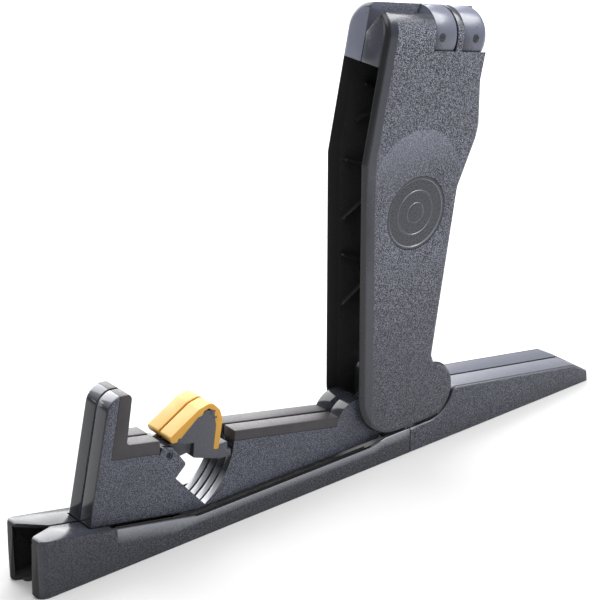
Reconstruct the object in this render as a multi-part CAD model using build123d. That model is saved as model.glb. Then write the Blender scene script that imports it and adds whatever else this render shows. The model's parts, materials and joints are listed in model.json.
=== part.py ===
from build123d import *
import os
from math import cos, radians, sin, tan

# Folding in-bell saxophone stand: two mirrored halves joined by one hinge at the top of the post.
# Millimetres. +X points to the rear foot, -Y is the left half, +Z is up. The origin is on the floor,
# under the middle of the whole stand. Side outlines are drawn in (x, z) and grow outwards from the
# mid-plane; a distance "out" is measured from the mid-plane towards the outer face of a half.

# ---------------------------------------------------------------- driving dimensions
HALF_WIDTH = 17.0           # mid-plane to outer face of a foot or post shell
WALL = 2.4                  # moulded outer skin
SEAM = 0.8                  # mid-plane to inner edge of a foot, half of the visible seam
SHELL_SEAM = 0.4            # the same for the post shells
ARM_OUT = 10.6              # outer face of a support arm
LUG_IN, LUG_OUT = 11.1, 14.3    # layer that holds the feet's pivot lugs
SKIN_IN = HALF_WIDTH - WALL     # inner face of the post's skin

LEAN = 12.0                 # the hinge line, ledge and prong are all turned by this angle
FRONT_PIVOT = (44.4, 46.6)  # front foot's pivot, and centre of the bulb's front round
REAR_PIVOT = (69.7, 35.6)   # rear foot's pivot, and centre of the bulb's rear round
ARM_PIVOT = (15.5, 31.0)
PAD_PIVOT = (-118.3, 54.0)
HINGE = (66.0, 255.5)       # a point on the top hinge line
FRONT_BULB_R, REAR_BULB_R = 30.2, 19.2
BULB_GAP = 0.4              # foot to bulb

SPLIT_X = 54.1              # where the two feet meet
SPLIT_GAP = 0.8
REAR_END_X = 209.5
TIP_X = -209.72             # before its lower corner is rounded

HINGE_R = 17.0              # knuckle barrels are as wide as the folded post
HINGE_GAP = 0.3
HINGE_PIN_R = 2.5
RUNNING_FIT = 0.05
HINGE_LEFT, HINGE_RIGHT = -37.8, 41.2   # ends of the post along the hinge line
END_ROUND = 4.0             # outer edges of the post and of the barrel's front end
KNUCKLE_OVER = 1.5          # the rear knuckle stands out past the post's rear edge
KNUCKLE_ROUND = 6.5
WIDE_GAP = 1.3              # the open slot in front of the left shell's visible knuckle
RELIEF_ANGLE = 38.0         # the left shell is cut back this far so that the halves can spread
BLOCK_LOW = -16.5           # underside of the hinge block, across the hinge line

BARREL_SPLITS = (-12.0, 0.0, 16.45, 21.95)      # where knuckles of the two shells meet along the hinge
CORE_BARREL_R = 8.0         # hidden knuckle of the left shell, inside the right one

ROOT = 0.5                  # how far a boss is rooted in the skin
PIVOT_BOSS_R = 5.0          # hollow post that a foot turns on
BOSS_IN = LUG_IN - 0.3      # its inner end
LUG_R = 8.5
LUG_LOW = 1.0               # a lug's tab starts this far above the floor
SCREW_R = 1.5
SCREW_HEAD_R, SCREW_HEAD_THICK = 4.4, 2.4
WASHER_R, WASHER_THICK = 7.6, 1.2
CROSS_LONG, CROSS_WIDE = 5.2, 1.0

BRACKET_IN, BRACKET_OUT = 0.4, 1.9
BRACKET_SCREWS = [(58.0, 62.0), (56.6, 41.2)]
BRACKET_POST_R = 3.0
BRACKET_SCREW_R, BRACKET_SCREW_END = 1.2, 8.6
BRACKET_KNEE = (48.0, 38.0)
STOP_OUT = 9.8              # the bracket's tab, above the arm's heel

FOOT_TOP_Z = 13.9
LIP_IN, LIP_THICK = 11.0, 2.2   # the front foot's floor is only a lip along its outer wall
TIP_R = 8.0                 # the front tip's outer corner, seen from above
ARM_SWEEP_R = 217.4         # the front foot keeps outside this radius of its pivot where the arm lies
REAR_WALL = 2.2
FRONT_SOLE = (-192.0, 24.0)     # middle and length of the rubber pad under the front tip
REAR_SOLE = (186.0, 30.0)
SOLE_THICK, SOLE_WIDTH, SOLE_MIDDLE = 1.4, 9.0, 8.4

HUB_R = 13.8                # round end of a support arm
HUB_GAP = 0.3
ARM_PIN_R, ARM_PIN_END = 2.0, 9.0
PAD_PIN_R = 1.6
PAD_LUG_OUT = 7.5           # outer face of the pad's lug, inside the arm's ear
PAD_LUG_R, EAR_R = 5.4, 7.2
SLOT_R = 45.0               # curved slot that the pad's tongue follows
LEDGE_SLOPE = tan(radians(LEAN))
LEDGE_TOP = (-75.0, 54.9)   # high end of the ledge
BAND_DEPTH = 6.5            # how deep the ledge's soft strip is
LINER_PROUD = 0.2

BADGE_AT = (54.8, 154.9)
BADGE_R, BADGE_FIELD, BADGE_RIM, BADGE_MIDDLE_R = 22.0, 0.5, 0.8, 7.0
BADGE_FLOOR = HALF_WIDTH - 1.5  # bottom of the badge's pocket
DISH_R, DISH_DEPTH = 48.0, 0.8

os.makedirs("parts", exist_ok=True)


# ---------------------------------------------------------------- helpers
def outline(*points):
    """A closed side outline from (x, z, corner radius) points."""
    places = [(x, z) for x, z, _ in points]
    radii = [r for _, _, r in points]
    return make_face(FilletPolyline(*places, radius=radii, close=True))


def disc(at, radius):
    return Pos(at[0], at[1]) * Circle(radius)


def slab(face, inner, outer):
    """Grow a side outline from one distance off the mid-plane to another, on the left half."""
    return extrude(Plane.XZ.offset(inner) * face, amount=outer - inner)


def strip(at_a, r_a, at_b, r_b):
    """The outline round two discs."""
    return make_hull((disc(at_a, r_a) + disc(at_b, r_b)).edges())


def along_hinge(u, n=0.0, y=0.0):
    """A plane at u along the hinge line and n across it, whose normal runs along the line."""
    c, s = cos(radians(LEAN)), sin(radians(LEAN))
    origin = (HINGE[0] + u * c + n * s, y, HINGE[1] - u * s + n * c)
    return Plane(origin=origin, x_dir=(0, 1, 0), z_dir=(c, 0, -s))


def barrel(radius, start, end):
    return along_hinge(start) * Cylinder(radius, end - start, align=(Align.CENTER, Align.CENTER, Align.MIN))


def hinge_box(start, end, low, high, y_low, y_high):
    """A box turned with the hinge line, from low to high across the line and between two y values."""
    face = Pos((y_low + y_high) / 2, (low + high) / 2) * Rectangle(y_high - y_low, high - low)
    return extrude(along_hinge(start) * face, amount=end - start)


def save(shape, node):
    export_step(shape, f"parts/{node}.step")


# ---------------------------------------------------------------- post shells
RIGHT_EDGE = [(103.8, 236.0, 0), (103.8, 198.0, 6), (101.6, 190.0, 6), (88.3, 162.8, 12), (72.0, 62.0, 0)]


def post_outline():
    top_left = along_hinge(HINGE_LEFT).origin
    top_right = along_hinge(HINGE_RIGHT).origin
    body = outline(
        (14.2, FRONT_PIVOT[1], 0), (14.2, 193.0, 10), (top_left.X, top_left.Z, 0),
        (top_right.X, top_right.Z, 0), *RIGHT_EDGE, (*REAR_PIVOT, 0), (*FRONT_PIVOT, 0))
    bulb = disc(FRONT_PIVOT, FRONT_BULB_R) + disc(REAR_PIVOT, REAR_BULB_R)
    base_z = REAR_PIVOT[1] - REAR_BULB_R
    sole = outline((FRONT_PIVOT[0], base_z, 0), (REAR_PIVOT[0], base_z, 0), (REAR_PIVOT[0], 40, 0),
                   (FRONT_PIVOT[0], 40, 0))
    return body + bulb + sole


def cavity_outline():
    """The post's hollow: open at the front below the hinge block, and all round the bulb."""
    low_left = along_hinge(HINGE_LEFT - 30, BLOCK_LOW).origin
    low_right = along_hinge(HINGE_RIGHT + 2, BLOCK_LOW).origin
    inner_edge = [(x - WALL, z, r) for x, z, r in RIGHT_EDGE[1:4]]
    return outline((low_left.X, low_left.Z, 0), (101.4, low_right.Z + 1.0, 0), *inner_edge, (71.0, 70.0, 0),
                   (110.0, 66.0, 0), (110.0, -5.0, 0), (low_left.X, -5.0, 0))


def post_skin():
    """The left shell before its hinge knuckles are cut."""
    body = slab(post_outline(), SHELL_SEAM, HALF_WIDTH)
    face_edges = body.faces().sort_by(Axis.Y)[0].edges()
    hinge_z = HINGE[1] - 12.0
    body = fillet([e for e in face_edges if e.center().Z < hinge_z - 4], END_ROUND)
    block = barrel(HINGE_R, HINGE_LEFT, HINGE_RIGHT)
    block = fillet(block.edges().filter_by(GeomType.CIRCLE).sort_by(Axis.X)[0], END_ROUND)
    block &= Pos(60, -HALF_WIDTH / 2 - SHELL_SEAM / 2, 260) * Box(300, HALF_WIDTH - SHELL_SEAM, 200)
    body += block
    body -= slab(cavity_outline(), 0.0, SKIN_IN)
    return body


def pivot_bosses():
    """Hollow posts inside the skin: two that the feet turn on, two that carry the arm bracket."""
    turning = slab(disc(FRONT_PIVOT, PIVOT_BOSS_R) + disc(REAR_PIVOT, PIVOT_BOSS_R), BOSS_IN, SKIN_IN + ROOT)
    turning -= slab(disc(FRONT_PIVOT, SCREW_R) + disc(REAR_PIVOT, SCREW_R), 0.0, SKIN_IN)
    holders = [slab(disc(at, BRACKET_POST_R), BRACKET_OUT, SKIN_IN + ROOT) for at in BRACKET_SCREWS]
    holes = [slab(disc(at, BRACKET_SCREW_R), 0.0, BRACKET_SCREW_END + 0.4) for at in BRACKET_SCREWS]
    return turning + [h - k for h, k in zip(holders, holes)]


def face_relief():
    """A wide shallow dish in the outer face, and the badge's pocket at its middle."""
    sphere_r = (DISH_R ** 2 + DISH_DEPTH ** 2) / (2 * DISH_DEPTH)
    dish = Pos(BADGE_AT[0], -HALF_WIDTH - sphere_r + DISH_DEPTH, BADGE_AT[1]) * Sphere(sphere_r)
    pocket = slab(disc(BADGE_AT, BADGE_R + 0.2), BADGE_FLOOR, HALF_WIDTH + 1)
    return dish, pocket


def clearance(start, end):
    """Room for the other shell's knuckle, with a step below it that shows as a notch."""
    r = HINGE_R + HINGE_GAP
    return [barrel(r, start, end), hinge_box(start, end, -6.0, 0.0, -HALF_WIDTH - 1, -HALF_WIDTH + 6)]


def knuckle(start, end, rounded=False):
    ring = barrel(HINGE_R, start, end)
    if rounded:
        ring = fillet(ring.edges().filter_by(GeomType.CIRCLE).sort_by(Axis.X)[-1], KNUCKLE_ROUND)
    return ring


def relief_wedge():
    """Above the hinge line the left shell's inner face leans away, so that its top can swing over."""
    high = HINGE_R + 13
    return make_face(Polyline((0, 0), (0, high), (-high * tan(radians(RELIEF_ANGLE)), high), close=True))


def left_shell():
    shell = post_skin()
    a, b, c, d = BARREL_SPLITS
    g = HINGE_GAP / 2
    shell -= extrude(along_hinge(HINGE_LEFT - 1) * relief_wedge(), amount=b - HINGE_LEFT + 1 - g)
    for start, end in ((b - g, c + WIDE_GAP / 2), (d - g, HINGE_RIGHT + 5)):
        for tool in clearance(start, end):
            shell -= tool
    shell += barrel(CORE_BARREL_R, a, b - g)
    shell += knuckle(c + WIDE_GAP / 2, d - g)
    shell -= barrel(HINGE_PIN_R + RUNNING_FIT, a - 1, d + 1)
    for tool in face_relief():
        shell -= tool
    for boss in pivot_bosses():
        shell += boss
    return shell


def right_shell():
    shell = mirror(post_skin(), about=Plane.XZ)
    a, b, c, d = BARREL_SPLITS
    g = HINGE_GAP / 2
    shell -= barrel(CORE_BARREL_R + HINGE_GAP, a - HINGE_GAP, b + g)
    shell -= barrel(HINGE_R + HINGE_GAP, c - WIDE_GAP / 2, d + g)
    shell += knuckle(b + g, c - WIDE_GAP / 2)
    shell += knuckle(d + g, HINGE_RIGHT + KNUCKLE_OVER, rounded=True)
    shell -= barrel(HINGE_PIN_R + RUNNING_FIT, b, HINGE_RIGHT - 4)
    for tool in face_relief():
        shell -= mirror(tool, about=Plane.XZ)
    for boss in pivot_bosses():
        shell += mirror(boss, about=Plane.XZ)
    return shell


def hinge_pin():
    return barrel(HINGE_PIN_R, BARREL_SPLITS[0] + 0.5, HINGE_RIGHT - 4.5)


# ---------------------------------------------------------------- feet
def front_foot_outline():
    return outline((TIP_X, 0, 3), (SPLIT_X - SPLIT_GAP / 2, 0, 0), (SPLIT_X - SPLIT_GAP / 2, 16.0, 0),
                   (34.6, 16.0, 8), (24.0, 13.6, 8), (-104.0, FOOT_TOP_Z, 12), (-207.0, 35.4, 2))


def tip_plan(inset):
    """Seen from above: the tip's outer corner is round."""
    out, end = HALF_WIDTH - inset, TIP_X + inset
    plan = make_face(Polyline((60, 0), (end, 0), (end, -out), (60, -out), close=True))
    corner = [v for v in plan.vertices() if v.X < 0 and v.Y < -1]
    return fillet(corner, TIP_R - inset)


def tip_slant():
    """What is cut off the inner side of the tip, and along the seam, seen from above."""
    corners = [(70, 1), (70, -SEAM), (-190.0, -SEAM), (TIP_X - 1, -11.3), (TIP_X - 1, 1)]
    return make_face(Polyline(*corners, close=True))


def block_outline(left, right, low, high):
    return outline((left, low, 0), (right, low, 0), (right, high, 0), (left, high, 0))


def lug(pivot, before, behind, web_top):
    """The tab that carries a foot's pivot ring, and the web that joins it to the foot's wall."""
    x, z = pivot
    tab = slab(block_outline(x - before, x + behind, LUG_LOW, z) + disc(pivot, LUG_R), LUG_IN, LUG_OUT)
    web = slab(block_outline(x - before, x + behind, LUG_LOW, web_top), LUG_IN, SKIN_IN + ROOT)
    return [tab, web]


def front_foot():
    body = slab(front_foot_outline(), 0.0, HALF_WIDTH) & (Pos(0, 0, -1) * extrude(tip_plan(0), amount=60))
    body -= Pos(0, 0, -1) * extrude(tip_slant(), amount=60)
    hollow = outline((TIP_X, LIP_THICK, 0), (SPLIT_X - SPLIT_GAP / 2 - 2, LIP_THICK, 0),
                     (SPLIT_X - SPLIT_GAP / 2 - 2, 60, 0), (-160, 60, 0), (-160, 23.4, 0), (-215, 34.9, 0))
    body -= slab(hollow, 0.0, SKIN_IN) & (Pos(0, 0, -1) * extrude(tip_plan(WALL), amount=90))
    body -= slab(disc(FRONT_PIVOT, ARM_SWEEP_R), 0.0, LIP_IN)
    body += lug(FRONT_PIVOT, LUG_R, LUG_R - 0.5, 15.0)
    body -= slab(disc(FRONT_PIVOT, PIVOT_BOSS_R + RUNNING_FIT), 0.0, HALF_WIDTH)
    return body - sole_pad(FRONT_SOLE)


def rear_foot_outline(inset=0.0):
    start = SPLIT_X + SPLIT_GAP / 2 + inset
    plate = outline((start, 0, 0), (REAR_END_X - inset, 0, 0), (208.6 - inset, 7.0 - inset * 0.6, 2),
                    (195.9 - inset * 0.4, 14.4 - inset, 4), (89.0, 32.8 - inset, 0), (start, 32.8 - inset, 0))
    plate -= disc(REAR_PIVOT, REAR_BULB_R + BULB_GAP + inset)
    plate -= block_outline(0, REAR_PIVOT[0], 16.0 - inset, 50)
    if inset == 0:
        corner = plate.vertices().sort_by(Axis.Y)[-1]
        plate = fillet(corner, 3.5)
    return plate


def rear_foot():
    body = slab(rear_foot_outline(), SEAM, HALF_WIDTH)
    end_edges = body.edges().filter_by(lambda e: abs(e.center().X - 202) < 9 and e.center().Y < -16.9)
    body = fillet(end_edges, 1.5)
    hollow = slab(rear_foot_outline(inset=REAR_WALL), 0.0, SKIN_IN)
    hollow -= slab(block_outline(0, 300, -LIP_THICK, LIP_THICK), LIP_IN, SKIN_IN + 1)
    hollow -= slab(block_outline(166, 226, -3, 2.6), 0.0, HALF_WIDTH)
    body -= hollow
    body += lug(REAR_PIVOT, LUG_R - 0.5, LUG_R, 14.5)
    body -= slab(disc(REAR_PIVOT, PIVOT_BOSS_R + RUNNING_FIT), 0.0, HALF_WIDTH)
    return body - sole_pad(REAR_SOLE)


def sole_pad(place):
    middle, length = place
    plan = Pos(middle, -SOLE_MIDDLE) * RectangleRounded(length, SOLE_WIDTH, 3.0)
    return extrude(plan, amount=SOLE_THICK)


# ---------------------------------------------------------------- support arm and its liners
def ledge_z(x):
    return LEDGE_TOP[1] - LEDGE_SLOPE * (x - LEDGE_TOP[0])


def arm_outline():
    """Prong, cradle, curved slot and ledge, with the round hub and the heel behind it."""
    plate = outline((-171.6, 27.6, 0.6), (-102.0, 13.3, 10), (34.0, 13.3, 2), (37.0, 16.5, 2),
                    (37.0, 22.4, 1.5), (27.0, 22.4, 0), (15.0, 31.0, 0), (2.8, 38.0, 0), (*LEDGE_TOP, 0.8),
                    (-75.0, 48.0, 0), (-95.0, 60.0, 0), (-116.0, 58.6, 0), (-122.5, 60.4, 1.5),
                    (-124.2, 57.0, 0), (-124.2, 65.3, 0.8), (-145.6, 69.9, 2), (-140.6, 99.0, 3.5),
                    (-155.3, 101.4, 10))
    plate += disc(ARM_PIVOT, HUB_R)
    return plate - slot_outline()


def slot_outline():
    """The see-through slot: an arc about the pad's pivot, with the pivot's ear left standing."""
    sector = outline((-116.0, 58.6, 0), (-107.1, 45.2, 2), (-114.5, 38.6, 0), (-95.2, 15.6, 0),
                     (-60.0, 15.6, 0), (-60.0, 50.0, 0), (-75.0, 62.0, 0), (-116.0, 70.0, 0))
    return sector & disc(PAD_PIVOT, SLOT_R)


def cradle_band():
    return outline((-156.0, 64.0, 0), (-124.2, 57.2, 0), (-120.0, 75.0, 0), (-130.0, 115.0, 0),
                   (-145.6, 115.0, 0))


def ledge_band():
    """The ledge's soft strip stops at the hub."""
    left, right = -80.0, 20.0
    plate = outline((left, ledge_z(left) - BAND_DEPTH, 0), (right, ledge_z(right) - BAND_DEPTH, 0),
                    (right, 70.0, 0), (left, 70.0, 0))
    return plate - disc(ARM_PIVOT, HUB_R + 0.01)


def support_arm():
    face = arm_outline()
    body = slab(face, SEAM, ARM_OUT)
    outer = body.faces().sort_by(Axis.Y)[0].edges()
    front = [e for e in outer if e.center().X < -146.0 and e.center().Z > 40.0]
    body = fillet(front, 1.2)
    body -= slab(cradle_band() + ledge_band(), 0.0, ARM_OUT + 1)
    relief = disc(ARM_PIVOT, HUB_R + HUB_GAP) + block_outline(15, 40, 10, 31)
    body -= slab(relief, 0.0, BRACKET_OUT + HUB_GAP)
    ear_room = disc(PAD_PIVOT, EAR_R) + outline((-122.4, 48.2, 0), (-111.0, 38.2, 0), (-98.0, 38.0, 0),
                                              (-98.0, 63.0, 0), (-118.3, 63.0, 0))
    body -= slab(ear_room & (face + disc(PAD_PIVOT, EAR_R)), 0.0, PAD_LUG_OUT + HUB_GAP)
    groove = disc(PAD_PIVOT, SLOT_R + 1.6) - disc(PAD_PIVOT, SLOT_R - 3.0)
    body -= slab(groove & block_outline(-95.4, -60, 15.2, 46), 5.0, 6.4)
    body -= slab(disc(ARM_PIVOT, ARM_PIN_R + RUNNING_FIT), 0.0, ARM_PIN_END + 0.2)
    body -= slab(disc(PAD_PIVOT, PAD_PIN_R), 0.0, ARM_OUT)
    body -= slab(disc(PAD_PIVOT, 2.3), ARM_OUT - 0.7, ARM_OUT + 1)
    return body


def liner(band):
    """A soft strip that fills its band of the arm and stands just proud of its face."""
    return slab(band & arm_outline(), SEAM, ARM_OUT + LINER_PROUD)


# ---------------------------------------------------------------- pad
def rubber_outline():
    """A thick wrap over the pad's slope and ridge that runs down its back as a thin lip."""
    return outline((-116.3, 60.9, 0.8), (-113.4, 60.4, 0.6), (-98.4, 71.2, 4), (-92.8, 73.2, 0),
                   (-87.8, 72.2, 0), (-86.2, 62.5, 0), (-88.4, 47.9, 1), (-84.9, 46.8, 1),
                   (-81.5, 64.5, 4), (-83.2, 71.0, 5), (-88.8, 77.4, 5), (-97.4, 75.8, 5),
                   (-118.0, 64.4, 1.6))


def core_outline():
    return outline((-113.4, 60.0, 0), (-98.0, 73.0, 0), (-86.0, 73.6, 0), (-83.2, 62.0, 0), (-85.4, 49.7, 0),
                   (-78.6, 49.7, 0.6), (-78.7, 44.6, 0), (-76.2, 44.2, 0.5), (-76.4, 40.2, 0.5),
                   (-83.8, 40.4, 1), (-102.3, 47.3, 1), (-101.3, 56.3, 0), (-108.0, 57.6, 0))


def pad_core():
    body = slab(core_outline() - rubber_outline(), SEAM, ARM_OUT)
    neck = strip(PAD_PIVOT, PAD_LUG_R, (-104.0, 54.0), 4.2)
    root = outline((-104, 49.8, 0), (-98, 47.0, 0), (-98, 58.2, 0), (-104, 58.2, 0))
    knob = slab(neck + root, SEAM, PAD_LUG_OUT)
    body += knob
    body -= slab(disc(PAD_PIVOT, PAD_PIN_R + RUNNING_FIT), 0.0, ARM_OUT)
    return body - slab(rubber_outline(), 0.0, ARM_OUT + 1)


def pad_rubber():
    return slab(rubber_outline(), SEAM, ARM_OUT)


# ---------------------------------------------------------------- bracket, pins, screws, washers, badge
def arm_bracket():
    """A steel plate on two posts of the shell. It carries the arm's pin and stops the arm's heel."""
    plate = strip(ARM_PIVOT, 6.0, BRACKET_KNEE, 9.0) + strip(BRACKET_KNEE, 9.0, BRACKET_SCREWS[0], 5.5)
    plate += disc(BRACKET_SCREWS[1], 5.5)
    body = slab(plate, BRACKET_IN, BRACKET_OUT)
    stop = outline((31.0, 23.0, 0), (37.5, 23.0, 0), (37.5, 29.5, 0), (33.0, 29.5, 0))
    body += slab(stop, BRACKET_IN, STOP_OUT)
    body -= slab(disc(ARM_PIVOT, ARM_PIN_R), 0.0, BRACKET_OUT + 1)
    for at in BRACKET_SCREWS:
        body -= slab(disc(at, BRACKET_SCREW_R + 0.2), 0.0, BRACKET_OUT + 1)
    return body


def arm_pin():
    return slab(disc(ARM_PIVOT, ARM_PIN_R), BRACKET_IN, ARM_PIN_END)


def pad_pin():
    return slab(disc(PAD_PIVOT, PAD_PIN_R), SEAM + 0.2, ARM_OUT - 0.8)


def pivot_washer(at):
    return slab(disc(at, WASHER_R) - disc(at, SCREW_R + 0.2), BOSS_IN - WASHER_THICK, BOSS_IN)


def pivot_screw(at):
    under_head = BOSS_IN - WASHER_THICK
    top = under_head - SCREW_HEAD_THICK
    head = slab(disc(at, SCREW_HEAD_R), top, under_head)
    head = fillet(head.edges().sort_by(Axis.Y)[-1], 0.8)
    arms = Box(CROSS_LONG, 2.4, CROSS_WIDE) + Box(CROSS_WIDE, 2.4, CROSS_LONG)
    return head + slab(disc(at, SCREW_R), under_head, SKIN_IN - 0.5) - Pos(at[0], -top, at[1]) * arms


def bracket_screws():
    shanks = [slab(disc(at, BRACKET_SCREW_R), BRACKET_IN, BRACKET_SCREW_END) for at in BRACKET_SCREWS]
    heads = [slab(disc(at, 2.6), BRACKET_IN - 0.25, BRACKET_IN) for at in BRACKET_SCREWS]
    return Compound(children=[s + h for s, h in zip(shanks, heads)])


def badge():
    """A plain round badge: a rim, a field and a raised middle."""
    body = slab(disc(BADGE_AT, BADGE_R), BADGE_FLOOR, BADGE_FLOOR + BADGE_FIELD)
    rim = disc(BADGE_AT, BADGE_R) - disc(BADGE_AT, BADGE_R - 1.2)
    return body + slab(rim + disc(BADGE_AT, BADGE_MIDDLE_R), BADGE_FLOOR, BADGE_FLOOR + BADGE_RIM)


# ---------------------------------------------------------------- write every piece, left and right
LEFT_PIECES = {
    "front_foot": front_foot(),
    "rear_foot": rear_foot(),
    "support_arm": support_arm(),
    "cradle_liner": liner(cradle_band()),
    "ledge_liner": liner(ledge_band()),
    "pad_core": pad_core(),
    "pad_rubber": pad_rubber(),
    "arm_bracket": arm_bracket(),
    "arm_pin": arm_pin(),
    "pad_pin": pad_pin(),
    "front_pivot_washer": pivot_washer(FRONT_PIVOT),
    "rear_pivot_washer": pivot_washer(REAR_PIVOT),
    "front_pivot_screw": pivot_screw(FRONT_PIVOT),
    "rear_pivot_screw": pivot_screw(REAR_PIVOT),
    "bracket_screws": bracket_screws(),
    "badge": badge(),
    "front_sole_pad": sole_pad(FRONT_SOLE),
    "rear_sole_pad": sole_pad(REAR_SOLE),
}

save(left_shell(), "left_post_shell")
save(right_shell(), "right_post_shell")
save(hinge_pin(), "hinge_pin")
for name, piece in LEFT_PIECES.items():
    save(piece, f"left_{name}")
    save(mirror(piece, about=Plane.XZ), f"right_{name}")
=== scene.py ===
"""Looks of a folding in-bell saxophone stand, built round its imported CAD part.

Metres, in the part's own frame: +X to the rear foot, -Y the left half, +Z up. Sizes are written in
millimetres and turned to metres where a mesh is made.
"""

import json
import logging
from dataclasses import dataclass, field
from enum import Enum
from math import atan2, cos, pi, radians, sin, tan

import bmesh
import bpy
from mathutils import Matrix, Vector

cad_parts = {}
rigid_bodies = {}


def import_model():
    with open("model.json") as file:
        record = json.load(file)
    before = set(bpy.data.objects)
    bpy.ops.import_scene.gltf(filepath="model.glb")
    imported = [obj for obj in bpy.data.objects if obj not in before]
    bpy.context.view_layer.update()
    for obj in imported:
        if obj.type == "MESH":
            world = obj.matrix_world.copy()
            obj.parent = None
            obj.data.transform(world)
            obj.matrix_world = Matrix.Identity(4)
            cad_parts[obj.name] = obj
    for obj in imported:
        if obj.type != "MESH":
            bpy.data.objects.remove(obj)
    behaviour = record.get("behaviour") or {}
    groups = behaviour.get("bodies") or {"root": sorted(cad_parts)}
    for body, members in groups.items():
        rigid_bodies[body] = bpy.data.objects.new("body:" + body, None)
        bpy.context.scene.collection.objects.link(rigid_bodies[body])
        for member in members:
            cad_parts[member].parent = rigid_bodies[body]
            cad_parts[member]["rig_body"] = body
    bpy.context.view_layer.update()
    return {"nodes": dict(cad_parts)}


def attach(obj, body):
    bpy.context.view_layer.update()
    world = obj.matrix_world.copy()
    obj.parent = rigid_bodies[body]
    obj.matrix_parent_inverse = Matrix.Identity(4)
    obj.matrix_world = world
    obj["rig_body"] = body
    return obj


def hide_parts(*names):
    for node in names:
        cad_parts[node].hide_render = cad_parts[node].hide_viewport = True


MM = 0.001
LOG = logging.getLogger("saxophone_stand")
Point = tuple[float, float]
Corner = tuple[float, float, float]     # x, z and corner radius, in millimetres
MATH, VECTOR, MIX = "ShaderNodeMath", "ShaderNodeVectorMath", "ShaderNodeMix"
RANGE, NOISE = "ShaderNodeMapRange", "ShaderNodeTexNoise"


class Side(Enum):
    """A half of the stand, with the sign of its Y."""

    LEFT = -1
    RIGHT = 1

    def node(self, part: str) -> str:
        """The name of this half's part."""
        return f"{self.name.lower()}_{part}"


# ---------------------------------------------------------------- shader helpers
def linear(hex_colour: str) -> tuple[float, float, float, float]:
    """Turns an sRGB hex colour to linear.

    Args:
        hex_colour: Six hex digits, such as "6b6d75".

    Returns:
        Red, green, blue and an alpha of 1.
    """
    parts = [int(hex_colour[i:i + 2], 16) / 255 for i in (0, 2, 4)]
    red, green, blue = (c / 12.92 if c <= 0.04045 else ((c + 0.055) / 1.055) ** 2.4 for c in parts)
    return red, green, blue, 1.0


def add_node(tree: bpy.types.NodeTree, kind: str, *values: object, **settings: object) -> bpy.types.Node:
    """Adds a node with its settings and fills its usable inputs in their order.

    Args:
        tree: The material's node tree.
        kind: The node's type name.
        *values: For each usable input a node, a socket or a value, or None to leave it.
        **settings: The node's own properties.

    Returns:
        The new node.
    """
    node = tree.nodes.new(kind)
    for name, value in settings.items():
        setattr(node, name, value)
    for entry, value in zip([s for s in node.inputs if s.enabled], values):
        if isinstance(value, bpy.types.Node):
            value = next(s for s in value.outputs if s.enabled)
        if isinstance(value, bpy.types.NodeSocket):
            tree.links.new(value, entry)
        elif value is not None:
            entry.default_value = value
    return node


def start_material(name: str) -> tuple[bpy.types.Material, bpy.types.NodeTree, bpy.types.Node]:
    """Makes an empty node material with its output and shader.

    Args:
        name: The material's name.

    Returns:
        The material, its tree and its Principled shader.
    """
    material = bpy.data.materials.new(name)
    material.use_nodes = True
    tree = material.node_tree
    tree.nodes.clear()
    shader = add_node(tree, "ShaderNodeBsdfPrincipled")
    add_node(tree, "ShaderNodeOutputMaterial", shader)
    return material, tree, shader


def per_metre(size_mm: float) -> float:
    """A texture scale whose cells are about size_mm across."""
    return 1.0 / (size_mm * MM)


# ---------------------------------------------------------------- finishes
class Region(Enum):
    """Which local features of the mould a plastic finish follows."""

    PLAIN = "plain"
    LEFT_POST = "left post"
    RIGHT_POST = "right post"
    FOOT = "foot"
    ARM = "arm"


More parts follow.
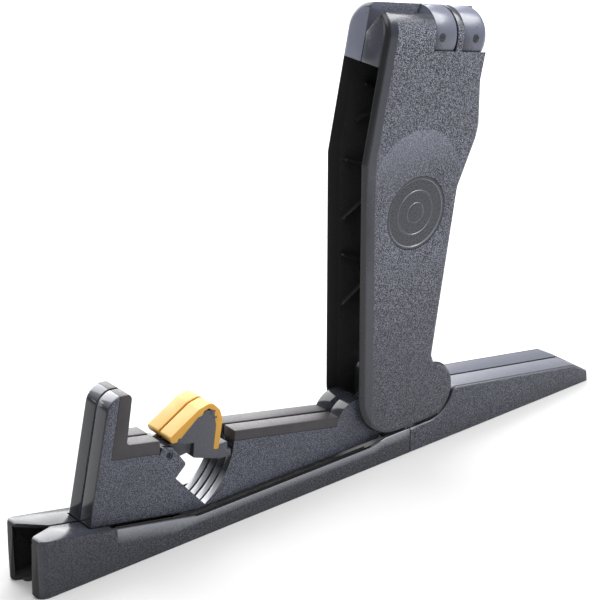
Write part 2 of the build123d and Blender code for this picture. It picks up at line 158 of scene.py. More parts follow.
@dataclass(frozen=True)
class MouldedPlastic:
    """Glass-filled nylon or ABS from a spark-eroded mould: broad faces grained, rims and edges smooth and glossier."""

    name: str
    body: str = "444754"
    low: str = "14161c"             # bottoms of the grain
    high: str = "a0a4b5"            # tops of the grain, which catch the light
    rim: str = "31333c"
    grain_mm: float = 0.55          # drawn coarser than a real erosion grain, so that it shows
    grain_height: float = 0.2
    face_rough: float = 0.48
    rim_rough: float = 0.2
    inner: str = "141415"           # painted shade: the dark colour of the inner faces of the hollows, where little light reaches; they are drawn rougher too
    region: Region = Region.PLAIN
    strip_mm: float = 8.6

    @property
    def on_post(self) -> bool:
        """Whether this finish is on the post."""
        return self.region in (Region.LEFT_POST, Region.RIGHT_POST)

    def strip_edge(self, tree: bpy.types.NodeTree, at: bpy.types.Node) -> bpy.types.Node:
        """Metres behind the smooth strip on the post's front edge, which leans back above its knee."""
        above = add_node(tree, MATH, at.outputs["Z"], 193 * MM, operation="SUBTRACT")
        above = add_node(tree, MATH, above, 0.0, operation="MAXIMUM")
        edge = add_node(tree, MATH, above, 0.21, (14.2 + self.strip_mm) * MM, operation="MULTIPLY_ADD")
        return add_node(tree, MATH, at.outputs["X"], edge, operation="SUBTRACT")

    def reach(self, tree: bpy.types.NodeTree, place: bpy.types.NodeSocket, middle: Point) -> bpy.types.Node:
        """Distance in metres from an axis along Y through a point given in millimetres."""
        flat = add_node(tree, VECTOR, place, (1, 0, 1), operation="MULTIPLY")
        return add_node(tree, VECTOR, flat, (middle[0] * MM, 0, middle[1] * MM), operation="DISTANCE")

    def painted_hollow_shade(self, tree: bpy.types.NodeTree, place: bpy.types.NodeSocket, at: bpy.types.Node,
               facing: bpy.types.Node) -> bpy.types.Node:
        """1 on the faces of the hollows, where painted shade is drawn because they are hardly lit, and 0 outside.

        Args:
            tree: The material's node tree.
            place: Object coordinates.
            at: The coordinates, separated.
            facing: The normal, separated.

        Returns:
            The node that holds the share.
        """
        out = add_node(tree, MATH, at.outputs["Y"], operation="ABSOLUTE")
        within = add_node(tree, RANGE, out, 14.68 * MM, 14.6 * MM)
        if self.on_post:
            level = add_node(tree, VECTOR, place, (tan(radians(12)), 0, 1), operation="DOT_PRODUCT")
            return add_node(tree, MATH, within, add_node(tree, RANGE, level, 252.6 * MM, 252.2 * MM),
                            operation="MULTIPLY")
        if self.region is Region.FOOT:
            # the front foot's top is level to x = -104 mm and rises ahead of it
            ahead = add_node(tree, MATH, at.outputs["X"], 104 * MM, operation="ADD")
            ahead = add_node(tree, MATH, ahead, 0.0, operation="MINIMUM")
            level = add_node(tree, MATH, ahead, 0.209, at.outputs["Z"], operation="MULTIPLY_ADD")
            lowest = add_node(tree, RANGE, level, 13.2 * MM, 12.8 * MM)
            upward = add_node(tree, RANGE, facing.outputs["Z"], 0.8, 0.5)
            painted_shade = add_node(tree, MATH, upward, lowest, operation="MAXIMUM")
            painted_shade = add_node(tree, MATH, within, painted_shade, operation="MULTIPLY")
            # painted shade also fills the channel sunk in the top of the front foot's outer wall
            channel = add_node(tree, MATH, out, 15.6 * MM, 0.65 * MM, operation="COMPARE")
            channel = add_node(tree, MATH, channel, add_node(tree, RANGE, at.outputs["X"], -172 * MM, -170 * MM),
                               operation="MULTIPLY")
            return add_node(tree, MATH, painted_shade, channel, operation="MAXIMUM")
        return add_node(tree, MATH, within, 0.0, operation="MULTIPLY")

    def track(self, tree: bpy.types.NodeTree, place: bpy.types.NodeSocket, at: bpy.types.Node,
              broad: bpy.types.Node) -> bpy.types.Node:
        """1 low on the arm's curved track, where the pad's tail runs, fading to 0 upwards: the share of a painted
        highlight there.
        """
        off = add_node(tree, MATH, self.reach(tree, place, (-118.3, 54.0)), 45 * MM, 1.9 * MM, operation="COMPARE")
        edge_on = add_node(tree, RANGE, broad, 0.3, 0.0)
        wear_and_sheen = add_node(tree, MATH, off, edge_on, operation="MULTIPLY")
        wear_and_sheen = add_node(tree, MATH, wear_and_sheen, add_node(tree, RANGE, at.outputs["Z"], 31 * MM, 15 * MM),
                        operation="MULTIPLY")
        return add_node(tree, MATH, wear_and_sheen, add_node(tree, RANGE, at.outputs["X"], -101 * MM, -98 * MM),
                        operation="MULTIPLY")

    def material(self) -> bpy.types.Material:
        """Builds the material: a mottled grain on the broad faces and a satin skin on the rims.

        Returns:
            The material.
        """
        material, tree, shader = start_material(self.name)
        coordinates = add_node(tree, "ShaderNodeTexCoord")
        place = coordinates.outputs["Object"]
        at = add_node(tree, "ShaderNodeSeparateXYZ", place)
        facing = add_node(tree, "ShaderNodeSeparateXYZ", coordinates.outputs["Normal"])
        side_on = add_node(tree, MATH, facing.outputs["Y"], operation="ABSOLUTE")
        broad = add_node(tree, RANGE, side_on, 0.72, 0.96)
        if self.on_post:
            behind = self.strip_edge(tree, at)
            broad = add_node(tree, MATH, broad, add_node(tree, RANGE, behind, 0.0, 0.8 * MM), operation="MULTIPLY")
        # the right post's faces on the near side of the mid-plane, its hinge barrels, are smooth and take the right
        # half's rim colour, drawn lighter as painted light
        if self.region is Region.RIGHT_POST:
            broad = add_node(tree, MATH, broad, add_node(tree, RANGE, at.outputs["Y"], 0.0, 1 * MM),
                             operation="MULTIPLY")
        # a spark-eroded grain: rounded bumps that glint, with dark between them
        pits = add_node(tree, "ShaderNodeTexVoronoi", place, per_metre(self.grain_mm), feature="F1")
        fine = add_node(tree, NOISE, place, per_metre(self.grain_mm * 1.6), 2.0, 0.6)
        grain = add_node(tree, MATH, pits, 0.9, fine, operation="MULTIPLY_ADD")
        glint = add_node(tree, RANGE, grain, 1.06, 0.64)
        faces = add_node(tree, MIX, glint, linear(self.low), linear(self.high), data_type="RGBA")
        # a slow drift of tone over the faces, as the grain wears
        cloud = add_node(tree, NOISE, place, per_metre(45.0), 2.0, 0.5)
        drift = add_node(tree, RANGE, cloud, 0.3, 0.75, 0.35, 0.0)
        faces = add_node(tree, MIX, drift, faces, linear(self.body), data_type="RGBA")
        if self.on_post:
            # the grain is drawn darker towards the bottom of the post
            darker_low = add_node(tree, RANGE, at.outputs["Z"], 150 * MM, 20 * MM, 0.0, 0.5)
            faces = add_node(tree, MIX, darker_low, faces, linear(self.low), data_type="RGBA")
            # painted highlight: the shallow disc struck round the badge is drawn paler towards its top
            disc = add_node(tree, RANGE, self.reach(tree, place, (53.6, 170.5)), 34.9 * MM, 34.2 * MM)
            upper = add_node(tree, RANGE, at.outputs["Z"], 176 * MM, 203 * MM, 0.0, 0.28)
            disc = add_node(tree, MATH, disc, upper, operation="MULTIPLY")
            faces = add_node(tree, MIX, disc, faces, linear(self.high), data_type="RGBA")
        rims = linear(self.rim)
        if self.on_post:
            # painted shade: the rolled front edge of the post is drawn darker than the strip beside it
            ahead = add_node(tree, RANGE, facing.outputs["X"], -0.08, -0.3)
            cheek = add_node(tree, RANGE, facing.outputs["X"], -0.95, -0.88)
            ahead = add_node(tree, MATH, ahead, cheek, operation="MULTIPLY")
            rims = add_node(tree, MIX, ahead, rims, linear("1b1c20"), data_type="RGBA")
        colour = add_node(tree, MIX, broad, rims, faces, data_type="RGBA")
        scuffs = add_node(tree, NOISE, place, per_metre(7.0), 4.0, 0.6)
        skin = add_node(tree, RANGE, scuffs, 0.3, 0.8, self.rim_rough, self.rim_rough + 0.12)
        face = add_node(tree, RANGE, fine, 0.3, 0.7, self.face_rough + 0.08, self.face_rough - 0.08)
        if self.region is Region.FOOT:
            # painted highlight: a thin pale line along the lip beside the front foot's channel
            lip = add_node(tree, RANGE, facing.outputs["Z"], 0.05, 0.3, 0.0, 0.7)
            lip = add_node(tree, MATH, lip, add_node(tree, RANGE, at.outputs["X"], -158.5 * MM, -157.5 * MM),
                           operation="MULTIPLY")
            lip = add_node(tree, MATH, lip, add_node(tree, RANGE, at.outputs["X"], 60 * MM, 50 * MM),
                           operation="MULTIPLY")
            colour = add_node(tree, MIX, lip, colour, linear("c4c7cf"), data_type="RGBA")
        if self.region is Region.ARM:
            # painted highlight: the upward faces of the prong's caps are drawn pale
            cap = add_node(tree, RANGE, facing.outputs["Z"], 0.45, 0.95, 0.0, 0.45)
            cap = add_node(tree, MATH, cap, add_node(tree, RANGE, at.outputs["Z"], 91 * MM, 95 * MM),
                           operation="MULTIPLY")
            colour = add_node(tree, MIX, cap, colour, linear("a0a3ab"), data_type="RGBA")
            # painted highlight: the arm's curved track is drawn pale low down
            wear_and_sheen = self.track(tree, place, at, broad)
            colour = add_node(tree, MIX, wear_and_sheen, colour, linear("c9ccd2"), data_type="RGBA")
        rough = add_node(tree, MIX, broad, skin, face)
        # painted shade: the hollows are drawn near black and rougher
        painted_shade = self.painted_hollow_shade(tree, place, at, facing)
        colour = add_node(tree, MIX, painted_shade, colour, linear(self.inner), data_type="RGBA")
        rough = add_node(tree, MIX, painted_shade, rough, 0.62)
        ripple = add_node(tree, NOISE, place, per_metre(4.5), 1.0, 0.5)
        height = add_node(tree, MATH, glint, broad, operation="MULTIPLY")
        height = add_node(tree, MATH, ripple, 0.06, height, operation="MULTIPLY_ADD")
        bump = add_node(tree, "ShaderNodeBump", 1.0, self.grain_height * MM)
        tree.links.new(height.outputs[0], bump.inputs["Height"])
        tree.links.new(bump.outputs["Normal"], shader.inputs["Normal"])
        tree.links.new(colour.outputs[2], shader.inputs["Base Color"])
        tree.links.new(rough.outputs[0], shader.inputs["Roughness"])
        shader.inputs["IOR"].default_value = 1.5
        return material


@dataclass(frozen=True)
class SoftRubber:
    """Moulded thermoplastic rubber: even, slightly waxy, with a faint mould texture and a soft sheen."""

    name: str
    body: str
    wear_and_sheen: str
    rough: float = 0.55
    texture_mm: float = 1.4
    height: float = 0.05
    soak: float = 0.0               # how far light soaks in, as a share
    side_shade: str = "000000"            # painted shade: deeper colour drawn on the side and under faces

    def material(self) -> bpy.types.Material:
        """Builds the material.

        Returns:
            The material.
        """
        material, tree, shader = start_material(self.name)
        coordinates = add_node(tree, "ShaderNodeTexCoord")
        place = coordinates.outputs["Object"]
        cloud = add_node(tree, NOISE, place, per_metre(14.0), 3.0, 0.55)
        speck = add_node(tree, NOISE, place, per_metre(self.texture_mm), 2.0, 0.55)
        share = add_node(tree, RANGE, cloud, 0.35, 0.72)
        colour = add_node(tree, MIX, share, linear(self.body), linear(self.wear_and_sheen), data_type="RGBA")
        # painted shade: the broad sides and the under faces are drawn a deeper colour than the crown
        if self.soak:
            facing = add_node(tree, "ShaderNodeSeparateXYZ", coordinates.outputs["Normal"])
            side_on = add_node(tree, MATH, facing.outputs["Y"], operation="ABSOLUTE")
            side_on = add_node(tree, RANGE, side_on, 0.35, 0.95)
            under = add_node(tree, RANGE, facing.outputs["Z"], 0.15, -0.5)
            share = add_node(tree, MATH, side_on, under, operation="MAXIMUM")
            colour = add_node(tree, MIX, share, colour, linear(self.side_shade), data_type="RGBA")
        rough = add_node(tree, RANGE, speck, 0.25, 0.8, self.rough - 0.06, self.rough + 0.1)
        bump = add_node(tree, "ShaderNodeBump", 0.6, self.height * MM)
        tree.links.new(speck.outputs[0], bump.inputs["Height"])
        tree.links.new(bump.outputs["Normal"], shader.inputs["Normal"])
        tree.links.new(colour.outputs[2], shader.inputs["Base Color"])
        tree.links.new(rough.outputs[0], shader.inputs["Roughness"])
        shader.inputs["IOR"].default_value = 1.48
        shader.inputs["Subsurface Weight"].default_value = self.soak
        shader.inputs["Subsurface Scale"].default_value = 2.5 * MM
        shader.inputs["Subsurface Radius"].default_value = (1.0, 0.6, 0.2)
        return material


@dataclass(frozen=True)
class TurnedSteel:
    """Bar or sheet steel with fine machining lines: bright where zinc plated, near black where oxidised."""

    name: str
    body: str
    wear_and_sheen: str
    rough: float = 0.32
    line_mm: float = 0.5

    def material(self) -> bpy.types.Material:
        """Builds the material.

        Returns:
            The material.
        """
        material, tree, shader = start_material(self.name)
        place = add_node(tree, "ShaderNodeTexCoord").outputs["Object"]
        drawn = add_node(tree, "ShaderNodeMapping", place, None, None, (1.0, 0.12, 1.0))
        lines = add_node(tree, NOISE, drawn, per_metre(self.line_mm), 2.0, 0.55)
        stain = add_node(tree, NOISE, place, per_metre(6.0), 3.0, 0.55)
        share = add_node(tree, RANGE, stain, 0.35, 0.75)
        colour = add_node(tree, MIX, share, linear(self.body), linear(self.wear_and_sheen), data_type="RGBA")
        rough = add_node(tree, RANGE, lines, 0.25, 0.8, self.rough - 0.08, self.rough + 0.12)
        bump = add_node(tree, "ShaderNodeBump", 0.5, 0.02 * MM)
        tree.links.new(lines.outputs[0], bump.inputs["Height"])
        tree.links.new(bump.outputs["Normal"], shader.inputs["Normal"])
        tree.links.new(colour.outputs[2], shader.inputs["Base Color"])
        tree.links.new(rough.outputs[0], shader.inputs["Roughness"])
        shader.inputs["Metallic"].default_value = 1.0
        return material


@dataclass
class Finishes:
    """One material of each finish on the stand."""

    left_post: bpy.types.Material = field(default_factory=lambda: MouldedPlastic(
        "left_post_grained_plastic", region=Region.LEFT_POST).material())
    # painted light and shade: both halves are one plastic; the right half's rims, with its near hinge barrels, are
    # drawn lighter than the left half's
    right_post: bpy.types.Material = field(default_factory=lambda: MouldedPlastic(
        "right_post_grained_plastic", rim="5f6270", rim_rough=0.26, region=Region.RIGHT_POST).material())
    # painted light and shade: the feet are one plastic, drawn darker on the front foot and lighter on the rear foot
    front_foot: bpy.types.Material = field(default_factory=lambda: MouldedPlastic(
        "front_foot_grained_plastic", body="2b2d35", low="16171c", high="565966", grain_height=0.14,
        rim="2d2f36", region=Region.FOOT).material())
    rear_foot: bpy.types.Material = field(default_factory=lambda: MouldedPlastic(
        "rear_foot_grained_plastic", body="3a3c47", low="1e2027", high="727684", grain_height=0.14,
        rim="50535e", rim_rough=0.3, region=Region.FOOT).material())
    arm: bpy.types.Material = field(default_factory=lambda: MouldedPlastic(
        "arm_satin_plastic", body="434551", low="23252e", high="7a7e8e", grain_mm=0.5, grain_height=0.08,
        rim="232429", rim_rough=0.1, region=Region.ARM).material())
    core: bpy.types.Material = field(default_factory=lambda: MouldedPlastic(
        "pad_core_plastic", body="474951", low="42444b", high="4e5057", grain_mm=0.8, grain_height=0.04,
        rim="303137").material())
    # painted shade: drawn near black, darker than the outer plastic, for the inner ribs, gussets and flange in the
    # hollows and for the dark marks
    rib: bpy.types.Material = field(default_factory=lambda: MouldedPlastic(
        "inner_rib_plastic", body="1b1b1d", low="171719", high="212124", rim="1d1d1f", rim_rough=0.45).material())
    badge: bpy.types.Material = field(default_factory=lambda: MouldedPlastic(
        "badge_satin_plastic", body="2a2c33", low="2a2c33", high="383a42", grain_mm=0.7, grain_height=0.02,
        face_rough=0.3, rim="7c808a", rim_rough=0.2).material())
    liner: bpy.types.Material = field(default_factory=lambda: SoftRubber(
        "arm_liner_rubber", body="2f2c30", wear_and_sheen="383537", rough=0.42).material())
    sole: bpy.types.Material = field(default_factory=lambda: SoftRubber(
        "sole_rubber", body="232325", wear_and_sheen="303033", rough=0.7).material())
    pad: bpy.types.Material = field(default_factory=lambda: SoftRubber(
        "pad_yellow_rubber", body="bb9952", wear_and_sheen="c6a86a", side_shade="c99638", rough=0.5, soak=0.2).material())
    zinc: bpy.types.Material = field(default_factory=lambda: TurnedSteel(
        "zinc_plated_steel", body="a9abb0", wear_and_sheen="8e9096").material())
    black: bpy.types.Material = field(default_factory=lambda: TurnedSteel(
        "blackened_steel", body="2c2c2f", wear_and_sheen="46464a", rough=0.42).material())

    def post(self, side: Side) -> bpy.types.Material:
        """The grained plastic of one half of the post."""
        return self.left_post if side is Side.LEFT else self.right_post


# ---------------------------------------------------------------- mesh helpers
def finish_piece(bm: bmesh.types.BMesh, name: str, body: str, material: bpy.types.Material,
                 sharp: float = 32.0) -> bpy.types.Object:
    """Turns a bmesh to a piece of the stand that rides on a body.

    Args:
        bm: The finished shape, in metres. It is freed.
        name: The piece's name.
        body: The CAD body it moves with.
        material: Its finish.
        sharp: Edges that turn more than this many degrees stay crisp.

    Returns:
        The piece.
    """
    mesh = bpy.data.meshes.new(name)
    bm.to_mesh(mesh)
    bm.free()
    mesh.materials.append(material)
    mesh.polygons.foreach_set("use_smooth", [True] * len(mesh.polygons))
    mesh.set_sharp_from_angle(angle=radians(sharp))
    piece = bpy.data.objects.new(name, mesh)
    bpy.context.scene.collection.objects.link(piece)
    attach(piece, body)
    LOG.info("%s rides on %s with %d faces", name, body, len(mesh.polygons))
    return piece


def rounding(before: Corner, corner: Corner, after: Corner) -> float:
    """How far along its sides a corner of this radius begins, in metres."""
    into = atan2(corner[1] - before[1], corner[0] - before[0])
    out = atan2(after[1] - corner[1], after[0] - corner[0])
    turn = abs((out - into + pi) % (2 * pi) - pi)
    return corner[2] * tan(turn / 2) * MM


def plate(corners: list[Corner], inner: float, outer: float, side: Side, rim: float = 0.3,
          segments: int = 3) -> bmesh.types.BMesh:
    """A flat plate with rounded corners and rolled rims, grown outwards from the mid-plane.

    Args:
        corners: The side outline, in millimetres.
        inner: Its inner face's distance from the mid-plane, in millimetres.
        outer: Its outer face's distance.
        side: Which half it is on.
        rim: Radius of its two rims.
        segments: Steps in a rounded corner.

    Returns:
        The plate.
    """
    bm = bmesh.new()
    verts = [bm.verts.new((x * MM, side.value * inner * MM, z * MM)) for x, z, _ in corners]
    face = bm.faces.new(verts)
    grown = bmesh.ops.extrude_face_region(bm, geom=[face])
    far = [v for v in grown["geom"] if isinstance(v, bmesh.types.BMVert)]
    bmesh.ops.translate(bm, verts=far, vec=(0, side.value * (outer - inner) * MM, 0))
    count = len(corners)
    for i, corner in enumerate(corners):
        if corner[2] > 0:
            edge = next(e for e in verts[i].link_edges if abs(e.other_vert(verts[i]).co.y - verts[i].co.y) > MM / 2)
            offset = rounding(corners[i - 1], corner, corners[(i + 1) % count])
            bmesh.ops.bevel(bm, geom=[edge], offset=offset, segments=segments * 2, profile=0.5,
                            affect="EDGES", material=-1)
            bm.verts.ensure_lookup_table()
    bmesh.ops.recalc_face_normals(bm, faces=bm.faces)
    if rim > 0:
        caps = [f for f in bm.faces if abs(f.normal.y) > 0.99]
        rims = list({e for f in caps for e in f.edges})
        bmesh.ops.bevel(bm, geom=rims, offset=rim * MM, segments=segments, profile=0.5, affect="EDGES",
                        material=-1, clamp_overlap=True)
    return bm


def lathe(profile: list[Point], turn: Matrix, steps: int = 48) -> bmesh.types.BMesh:
    """A round piece spun from a profile of (radius, height), in millimetres, about its own axis.

    Args:
        profile: Points from the axis or inner edge outwards.
        turn: Places the piece, whose axis is +Z at the origin, in the row frame.
        steps: How many steps go round.

    Returns:
        The round piece.
    """
    bm = bmesh.new()
    verts = [bm.verts.new((r * MM, 0, h * MM)) for r, h in profile]
    edges = [bm.edges.new(pair) for pair in zip(verts, verts[1:])]
    bmesh.ops.spin(bm, geom=verts + edges, cent=(0, 0, 0), axis=(0, 0, 1), angle=2 * pi, steps=steps, use_merge=True)
    bmesh.ops.remove_doubles(bm, verts=bm.verts, dist=1e-6)
    bmesh.ops.recalc_face_normals(bm, faces=bm.faces)
    bmesh.ops.transform(bm, matrix=turn, verts=bm.verts)
    return bm


def facing(place: Vector, axis: Vector) -> Matrix:
    """A placement whose +Z runs along axis and whose origin is at place, in metres."""
    return Matrix.Translation(place) @ axis.to_track_quat("Z", "Y").to_matrix().to_4x4()


def sink_top(bm: bmesh.types.BMesh, first: float, last: float, depth: float) -> None:
    """Sinks a channel in the flat top of a foot's outer wall, between its two rolled edges.

    Args:
        bm: The foot.
        first: Least X of the channel, in millimetres.
        last: Its greatest X.
        depth: Its depth.
    """
    for x in (first, last):
        bmesh.ops.bisect_plane(bm, geom=bm.verts[:] + bm.edges[:] + bm.faces[:], dist=1e-7,
                               plane_co=(x * MM, 0, 0), plane_no=(1, 0, 0))
    bm.normal_update()
    tops = []
    for face in bm.faces:
        middle = face.calc_center_median() / MM
        if face.normal.z > 0.9 and 15.0 < abs(middle.y) < 16.6 and middle.z > 13 and first < middle.x < last:
            tops.append(face)
    grown = bmesh.ops.extrude_face_region(bm, geom=tops)
    floor = [v for v in grown["geom"] if isinstance(v, bmesh.types.BMVert)]
    bmesh.ops.translate(bm, verts=floor, vec=(0, 0, -depth * MM))
    bmesh.ops.delete(bm, geom=[f for f in tops if f.is_valid], context="FACES_ONLY")
    bmesh.ops.recalc_face_normals(bm, faces=bm.faces)
    LOG.info("a channel of %d faces is sunk", len(tops))


def crisp_edges(bm: bmesh.types.BMesh, ahead_of: float = 1.0) -> list[bmesh.types.BMEdge]:
    """The crisp edges of a mesh whose middles lie ahead of an X in metres."""
    turned = [e for e in bm.edges if len(e.link_faces) == 2 and e.calc_face_angle(0.0) > radians(30)]
    return [e for e in turned if (e.verts[0].co.x + e.verts[1].co.x) / 2 < ahead_of]


def eased_copy(nodes: dict, node: str, radius: float, name: str, material: bpy.types.Material,
               segments: int = 2, wide: Point | None = None,
               sunk: tuple[float, float, float] | None = None) -> bpy.types.Object:
    """A copy of a CAD node with its crisp edges rolled over, which stands for the node.

    Args:
        nodes: The frame's CAD nodes.
        node: The node to copy.
        radius: Radius of the rolled edges, in millimetres.
        name: The new piece's name.
        material: Its finish.
        segments: Steps across a rolled edge.
        wide: An X and a radius, in millimetres: edges ahead of this X are rolled by this radius instead.
        sunk: First and last X and depth, in millimetres, of a channel in the top of the outer wall.

    Returns:
        The piece.
    """
    bm = bmesh.new()
    bm.from_mesh(nodes[node].data)
    bmesh.ops.remove_doubles(bm, verts=bm.verts, dist=0.004 * MM)
    bmesh.ops.dissolve_limit(bm, angle_limit=radians(0.6), verts=bm.verts, edges=bm.edges)
    if wide:
        bmesh.ops.bevel(bm, geom=crisp_edges(bm, wide[0] * MM), offset=wide[1] * MM, segments=4, profile=0.5,
                        affect="EDGES", material=-1, clamp_overlap=True, loop_slide=True)
    bmesh.ops.bevel(bm, geom=crisp_edges(bm), offset=radius * MM, segments=segments, profile=0.5, affect="EDGES",
                    material=-1, clamp_overlap=True, loop_slide=True)
    if sunk:
        sink_top(bm, *sunk)
    bmesh.ops.triangulate(bm, faces=[f for f in bm.faces if len(f.verts) > 4])
    piece = finish_piece(bm, name, nodes[node]["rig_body"], material)
    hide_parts(node)
    return piece


# ---------------------------------------------------------------- sub-assemblies
@dataclass
class PostHalf:
    """One half of the upright post: its moulding, badge and the hidden stiffening ribs."""

    side: Side
    finishes: Finishes
    badge_at: Point = (54.8, 154.9)
    badge_floor: float = 15.5
    badge_radius: float = 22.0
    rib_in: float = 11.6
    skin_in: float = 14.7
    rib_wide: float = 1.4
    ribs: tuple = (((24, 96), (66, 120)), ((24, 128), (74, 104)), ((24, 150), (80, 178)), ((26, 186), (86, 160)),
                   ((34, 208), (92, 222)), ((40, 228), (92, 200)))

    def build(self, nodes: dict) -> None:
        """Makes every piece of this half of the post.

        Args:
            nodes: The frame's CAD nodes.
        """
        moulding = self.side.node("post_moulding")
        eased_copy(nodes, self.side.node("post_shell"), 0.35, moulding, self.finishes.post(self.side))
        self.make_badge()
        for number, (start, end) in enumerate(self.ribs):
            self.make_rib(number, start, end)

    def make_badge(self) -> None:
        """A plain turned badge: a bead round a dished field, with concentric steps and a boss."""
        top = 0.8
        profile = [(0.0, 1.0), (5.2, 0.95), (6.2, 0.55), (6.4, 0.3), (12.6, 0.3), (12.8, 0.55), (13.6, 0.55),
                   (13.8, 0.3), (20.0, 0.3), (20.2, 0.5), (20.6, top), (21.2, top + 0.1), (21.8, top), (22.0, 0.4),
                   (22.0, 0.0)]
        place = Vector((self.badge_at[0] * MM, self.side.value * self.badge_floor * MM, self.badge_at[1] * MM))
        bm = lathe(profile, facing(place, Vector((0, self.side.value, 0))), 96)
        badge = finish_piece(bm, self.side.node("badge_disc"), self.side.node("post"), self.finishes.badge,
                             20)
        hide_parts(self.side.node("badge"))

    def make_rib(self, number: int, start: Point, end: Point) -> None:
        """A low slanting rib on the inner face of the skin."""
        along = Vector((end[0] - start[0], 0, end[1] - start[1]))
        across = Vector((-along.z, 0, along.x)).normalized() * self.rib_wide / 2
        corners = [(start[0] - across.x, start[1] - across.z, 0), (end[0] - across.x, end[1] - across.z, 0),
                   (end[0] + across.x, end[1] + across.z, 0), (start[0] + across.x, start[1] + across.z, 0)]
        bm = plate(corners, self.rib_in, self.skin_in, self.side, 0.25, 2)
        finish_piece(bm, self.side.node(f"post_rib_{number}"), self.side.node("post"), self.finishes.rib)


@dataclass
class TopHinge:
    """Small marks on the knuckles of the top hinge: pin dimples on the near barrels and a vent on the crown."""

    finishes: Finishes
    line: Vector = field(default_factory=lambda: Vector((66.0, 0.0, 255.5)) * MM)
    lean: float = 12.0
    radius: float = 17.0
    marks: tuple = (("right", 4.8, 84.0), ("right", 31.2, 84.0), ("right", 3.2, -4.0))

    def spot(self, along: float, turned: float) -> tuple[Vector, Vector]:
        """A place on the barrels and its outward direction.

        Args:
            along: Millimetres along the hinge line.
            turned: Degrees from straight up towards the left half.

        Returns:
            The place and the direction.
        """
        lean = radians(self.lean)
        line = Vector((cos(lean), 0, -sin(lean)))
        up = Vector((sin(lean), 0, cos(lean)))
        out = up * cos(radians(turned)) + Vector((0, -1, 0)) * sin(radians(turned))
        return self.line + line * along * MM + out * self.radius * MM, out

    def build(self, nodes: dict) -> None:
        """Makes the dimples.

        Args:
            nodes: The frame's CAD nodes.
        """
        for number, (half, along, turned) in enumerate(self.marks):
            ring = [(0.0, 0.06), (2.0, 0.06), (2.4, 0.04), (2.6, -0.5)]
            cap = [(0.0, 0.2), (1.2, 0.18), (1.6, 0.1), (1.8, -0.4)]
            # painted shade: each dimple is drawn as a near-black ring, half covered by a cap slid to one side, so that
            # a dark crescent shows
            for layer, profile, slide, finish in (("socket", ring, 0.0, self.finishes.rib),
                                                  ("plug", cap, 0.55, self.finishes.badge)):
                place, out = self.spot(along + slide, turned)
                bm = lathe(profile, facing(place, out), 32)
                finish_piece(bm, f"{half}_knuckle_{layer}_{number}", f"{half}_post", finish)


@dataclass
class Foot:
    """A folding foot: its moulding, the gussets on its floor lip and the flange that closes them in."""

    side: Side
    finishes: Finishes
    name: str
    gussets: tuple
    flange: tuple = ()
    sunk: tuple | None = None
    gusset_in: float = 11.3
    gusset_out: float = 14.8
    gusset_thick: float = 1.3

    def build(self, nodes: dict) -> None:
        """Makes the moulding and gussets.

        Args:
            nodes: The frame's CAD nodes.
        """
        node = self.side.node(self.name)
        finish = getattr(self.finishes, self.name)
        eased_copy(nodes, node, 0.5, f"{node}_moulding", finish, sunk=self.sunk)
        # painted shade: a near-black sheet inside the foot, under the slot between the arm and the foot's outer wall,
        # keeps that slot dark
        if self.flange:
            bm = plate([(x, z, 0) for x, z in self.flange], 11.2, 12.0, self.side, 0.2, 2)
            finish_piece(bm, f"{node}_inner_flange", node, self.finishes.rib)
        for number, (middle, height) in enumerate(self.gussets):
            half = self.gusset_thick / 2
            corners = [(middle - half, 2.0, 0), (middle + half, 2.0, 0), (middle + half, height, 0),
                       (middle - half, height, 0)]
            bm = plate(corners, self.gusset_in, self.gusset_out, self.side, 0.2, 2)
            finish_piece(bm, f"{node}_gusset_{number}", node, self.finishes.rib)


@dataclass
class Slit:
    """A hairline ejector mark across the side of a foot: a low bead drawn near black, painted shade standing for a
    crease.
    """

    side: Side
    finishes: Finishes
    node: str
    top: Point
    foot: Point
    wide: float = 0.35

    def build(self) -> None:
        """Makes the mark, just proud of the wall."""
        across = Vector((self.foot[1] - self.top[1], 0, self.top[0] - self.foot[0])).normalized() * self.wide / 2
        corners = [(self.top[0] - across.x, self.top[1] - across.z, 0),
                   (self.foot[0] - across.x, self.foot[1] - across.z, 0),
                   (self.foot[0] + across.x, self.foot[1] + across.z, 0),
                   (self.top[0] + across.x, self.top[1] + across.z, 0)]
        node = self.side.node(self.node)
        finish_piece(plate(corners, 16.6, 17.05, self.side, 0.04, 1), f"{node}_mould_mark", node, self.finishes.rib)


@dataclass
class Arm:
    """A support arm with its two soft strips."""

    side: Side
    finishes: Finishes

    def build(self, nodes: dict) -> None:
        """Makes the arm's moulding and liners.

        Args:
            nodes: The frame's CAD nodes.
        """
        arm = self.side.node("support_arm")
        eased_copy(nodes, arm, 0.5, f"{arm}_moulding", self.finishes.arm, 2, (-157.0, 1.3))
        for liner in ("cradle_liner", "ledge_liner"):
            node = self.side.node(liner)
            eased_copy(nodes, node, 0.5, f"{node}_strip", self.finishes.liner, 3)


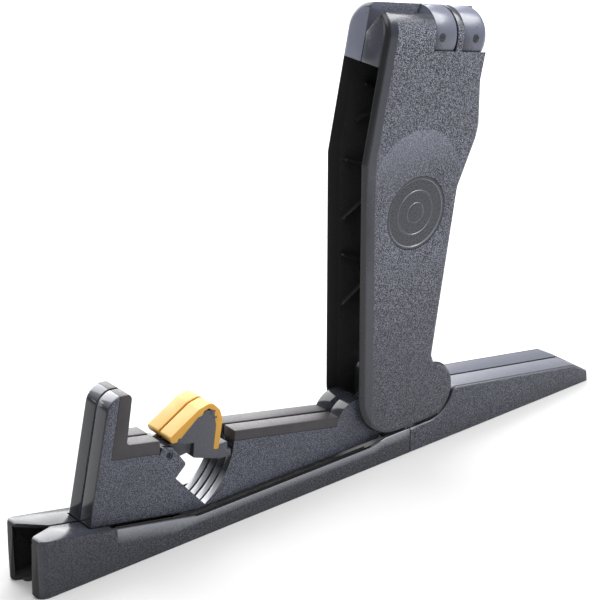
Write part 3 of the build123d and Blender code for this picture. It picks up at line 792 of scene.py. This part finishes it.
@dataclass
class Pad:
    """A tipping pad: a crowned yellow rubber wrap keyed to a grey core."""

    side: Side
    finishes: Finishes
    inner: float = 0.8
    outer: float = 10.6
    keys: tuple = (((-90.6, 70.4, 0.3), (-87.6, 69.2, 0.3), (-86.2, 71.6, 0.3), (-88.8, 73.0, 0.3)),
                   ((-88.0, 67.0, 0.2), (-85.6, 66.6, 0.2), (-85.4, 68.0, 0.2), (-87.8, 68.4, 0.2)))
    wrap: tuple = ((-116.3, 60.9, 0.8), (-113.0, 60.3, 0.5), (-111.4, 62.4, 0.3), (-110.2, 61.8, 0.3),
                   (-98.4, 70.9, 1), (-95.6, 71.2, 0.6), (-94.0, 73.4, 0.8), (-90.8, 74.2, 1.2), (-88.6, 72.4, 1.0),
                   (-88.4, 70.0, 0.5), (-86.9, 69.2, 0.4), (-86.9, 66.0, 0.5), (-86.2, 62.5, 0), (-88.4, 47.9, 1),
                   (-84.9, 46.8, 1), (-81.5, 64.5, 4), (-83.2, 71.0, 5), (-88.8, 77.4, 5), (-97.4, 75.8, 5),
                   (-118.0, 64.4, 1.6))

    def build(self, nodes: dict) -> None:
        """Makes the core and the wrap.

        Args:
            nodes: The frame's CAD nodes.
        """
        core = self.side.node("pad_core")
        eased_copy(nodes, core, 0.25, f"{core}_moulding", self.finishes.core)
        bm = plate(list(self.wrap), self.inner, self.outer + 0.1, self.side, 0.9, 4)
        piece = finish_piece(bm, self.side.node("pad_wrap"), self.side.node("pad"), self.finishes.pad, 60)
        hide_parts(self.side.node("pad_rubber"))
        self.make_keys()

    def make_keys(self) -> None:
        """The core's keys, which show as small dark teeth in the side of the wrap."""
        for number, key in enumerate(self.keys):
            bm = plate(list(key), self.outer - 1.0, self.outer + 0.16, self.side, 0.12, 2)
            finish_piece(bm, self.side.node(f"pad_key_{number}"), self.side.node("pad"), self.finishes.core,
                         60)


@dataclass
class Hardware:
    """The steel and rubber parts that keep their CAD shape."""

    finishes: Finishes

    def build(self, nodes: dict) -> None:
        """Dresses the nodes.

        Args:
            nodes: The frame's CAD nodes.
        """
        finish_of = {"hinge_pin": self.finishes.zinc, "arm_bracket": self.finishes.zinc,
                     "arm_pin": self.finishes.zinc, "pad_pin": self.finishes.black, "washer": self.finishes.zinc,
                     "pivot_screw": self.finishes.black, "bracket_screws": self.finishes.black,
                     "sole_pad": self.finishes.sole}
        for name, node in nodes.items():
            for ending, material in finish_of.items():
                if name.endswith(ending):
                    node.data.materials.clear()
                    node.data.materials.append(material)
                    LOG.info("%s keeps its shape", name)


# ---------------------------------------------------------------- studio
@dataclass
class Studio:
    """A pale floor, soft lights and the camera."""

    azimuth: float = -39.106
    elevation: float = 24.153
    aim: Vector = field(default_factory=lambda: Vector((-17.7, 0.0, 115.2)) * MM)
    distance: float = 1.1255
    lens: float = 119.2

    def away(self, azimuth: float, elevation: float) -> Vector:
        """The direction from the stand to a place at this azimuth and elevation, in degrees."""
        a, e = radians(azimuth), radians(elevation)
        return Vector((sin(a) * cos(e), -cos(a) * cos(e), sin(e)))

    def place_camera(self) -> None:
        """Makes the camera and aims it."""
        camera = bpy.data.cameras.new("camera")
        camera.lens = self.lens
        camera.sensor_width = 36.0
        rig = bpy.data.objects.new("camera", camera)
        back = self.away(self.azimuth, self.elevation)
        rig.location = self.aim + back * self.distance
        rig.rotation_euler = (-back).to_track_quat("-Z", "Y").to_euler()
        bpy.context.scene.collection.objects.link(rig)
        bpy.context.scene.camera = rig

    def add_softbox(self, name: str, azimuth: float, elevation: float, distance: float, size: float,
                    power: float) -> None:
        """Adds a square area light aimed at the stand."""
        lamp = bpy.data.lights.new(name, "AREA")
        lamp.size = size
        lamp.energy = power
        rig = bpy.data.objects.new(name, lamp)
        back = self.away(azimuth, elevation)
        rig.location = self.aim + back * distance
        rig.rotation_euler = (-back).to_track_quat("-Z", "Y").to_euler()
        bpy.context.scene.collection.objects.link(rig)

    def lay_floor(self) -> None:
        """A wide pale floor just under the soles."""
        material, tree, shader = start_material("pale_floor")
        place = add_node(tree, "ShaderNodeTexCoord").outputs["Object"]
        cloud = add_node(tree, NOISE, place, per_metre(400.0), 1.0)
        tone = add_node(tree, MIX, cloud, linear("b6b6b7"), linear("bababa"), data_type="RGBA")
        tree.links.new(tone.outputs[2], shader.inputs["Base Color"])
        shader.inputs["Roughness"].default_value = 0.9
        bm = bmesh.new()
        bmesh.ops.create_grid(bm, x_segments=1, y_segments=1, size=6.0)
        bmesh.ops.translate(bm, verts=bm.verts, vec=(0, 0, -0.1 * MM))
        mesh = bpy.data.meshes.new("floor")
        bm.to_mesh(mesh)
        bm.free()
        mesh.materials.append(material)
        floor = bpy.data.objects.new("floor", mesh)
        bpy.context.scene.collection.objects.link(floor)

    def build(self) -> None:
        """Sets up the floor, lights, surround and camera."""
        self.lay_floor()
        self.add_softbox("overhead_softbox", -50, 68, 1.5, 1.2, 14)
        self.add_softbox("left_softbox", -95, 25, 1.6, 0.8, 4)
        self.add_softbox("backdrop_softbox", 166, 36, 1.7, 2.4, 90)
        self.add_softbox("far_side_softbox", 70, 50, 1.5, 0.9, 30)
        world = bpy.data.worlds.new("surround")
        world.use_nodes = True
        surround = world.node_tree.nodes["Background"]
        surround.inputs["Color"].default_value = (1, 1, 1, 1)
        surround.inputs["Strength"].default_value = 0.28
        bpy.context.scene.world = world
        bpy.context.scene.view_settings.view_transform = "Standard"
        self.place_camera()


def main() -> None:
    """Builds the stand's looks, sub-assembly by sub-assembly, and then the studio."""
    logging.basicConfig(level=logging.INFO, format="%(message)s")
    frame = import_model()
    nodes = frame["nodes"]
    finishes = Finishes()
    front_gussets = tuple((x, 8.0) for x in range(-150, 20, 24))
    rear_gussets = tuple((x, 9.0) for x in range(100, 160, 18))
    flange = ((-156.0, 2.0), (22.0, 2.0), (22.0, 12.6), (-103.0, 12.8), (-156.0, 23.6))
    for side in Side:
        PostHalf(side, finishes).build(nodes)
        Foot(side, finishes, "front_foot", front_gussets, flange, (-158.0, 31.0, 2.2)).build(nodes)
        Foot(side, finishes, "rear_foot", rear_gussets).build(nodes)
        Arm(side, finishes).build(nodes)
        Pad(side, finishes).build(nodes)
        Slit(side, finishes, "front_foot", (-186.4, 14.2), (-188.8, 5.2)).build()
        Slit(side, finishes, "rear_foot", (186.2, 12.9), (186.0, 2.9)).build()
    TopHinge(finishes).build(nodes)
    Hardware(finishes).build(nodes)
    Studio().build()


if __name__ == "__main__":
    main()
